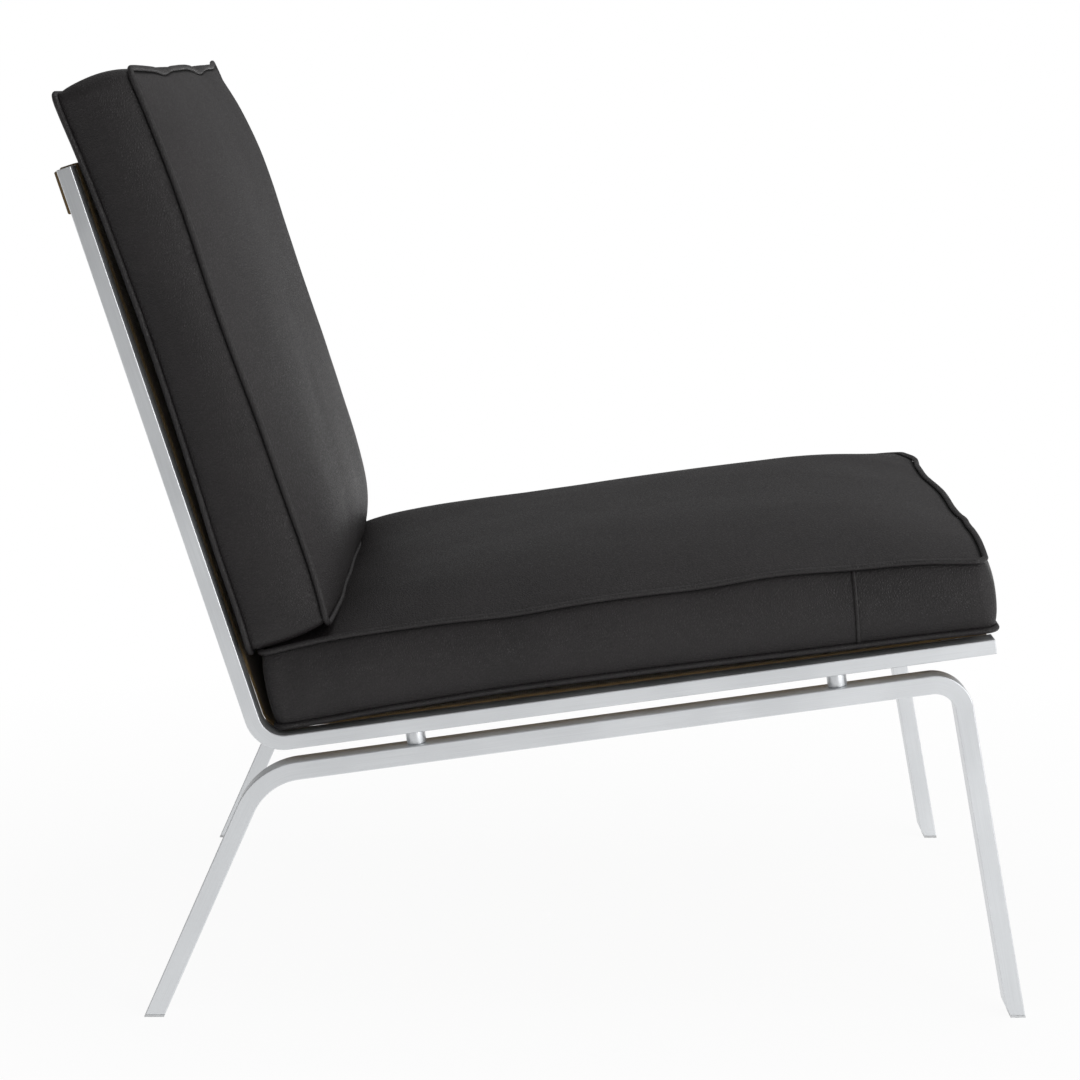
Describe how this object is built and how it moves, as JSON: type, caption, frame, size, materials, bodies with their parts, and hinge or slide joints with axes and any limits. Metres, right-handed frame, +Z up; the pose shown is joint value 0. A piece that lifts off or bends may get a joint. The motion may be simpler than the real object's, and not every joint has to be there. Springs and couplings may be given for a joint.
{
  "type": "lounge chair",
  "caption": "Armless lounge chair with bent flat-bar steel frames, a canvas sling, and loose black leather box cushions with piped edges.",
  "frame": {"origin": "on the floor, under the middle of the chair's bounding box", "axes": "+Z up, the sitter faces -Y, +X is the sitter's left"},
  "size_m": [0.6, 0.7854, 0.7739],
  "materials": {
    "steel": "satin-brushed stainless steel, finely streaked along the bar",
    "spacer_steel": "turned satin stainless steel",
    "glide_plastic": "matte pale grey nylon",
    "canvas": "heavy woven canvas, brown, ribbed across the chair",
    "black_leather": "black leather with a fine grain and a soft sheen",
    "piping_leather": "black leather over a round cord",
    "foam": "cut polyurethane foam, cream, not visible",
    "zip_tape": "black nylon zip",
    "zip_metal": "black painted zip slider"
  },
  "bodies": {
    "frame": {"left_rail": "steel", "right_rail": "steel", "top_cross_bar": "steel", "bend_cross_bar": "steel", "front_cross_bar": "steel", "left_leg_frame": "steel", "right_leg_frame": "steel", "left_rear_spacer": "spacer_steel", "left_front_spacer": "spacer_steel", "right_rear_spacer": "spacer_steel", "right_front_spacer": "spacer_steel", "frame_screws": "spacer_steel", "left_rear_glide": "glide_plastic", "left_front_glide": "glide_plastic", "right_rear_glide": "glide_plastic", "right_front_glide": "glide_plastic", "canvas_sling": "canvas", "sling_tie_loop": "canvas"},
    "seat_cushion": {"seat_cover": "black_leather", "seat_foam": "foam", "seat_upper_piping": "piping_leather", "seat_lower_piping": "piping_leather", "seat_zip": "zip_tape", "seat_zip_slider": "zip_metal"},
    "back_cushion": {"back_cover": "black_leather", "back_foam": "foam", "back_front_piping": "piping_leather", "back_rear_piping": "piping_leather", "back_zip": "zip_tape", "back_zip_slider": "zip_metal"}
  },
  "joints": [
    {"name": "seat_cushion_slide", "type": "slide", "parent": "frame", "child": "seat_cushion", "axis": [0, -0.9905, 0.1374], "range_m": [0, 0.62]},
    {"name": "back_cushion_slide", "type": "slide", "parent": "frame", "child": "back_cushion", "axis": [0, 0.304, 0.9527], "range_m": [0, 0.5]}
  ]
}
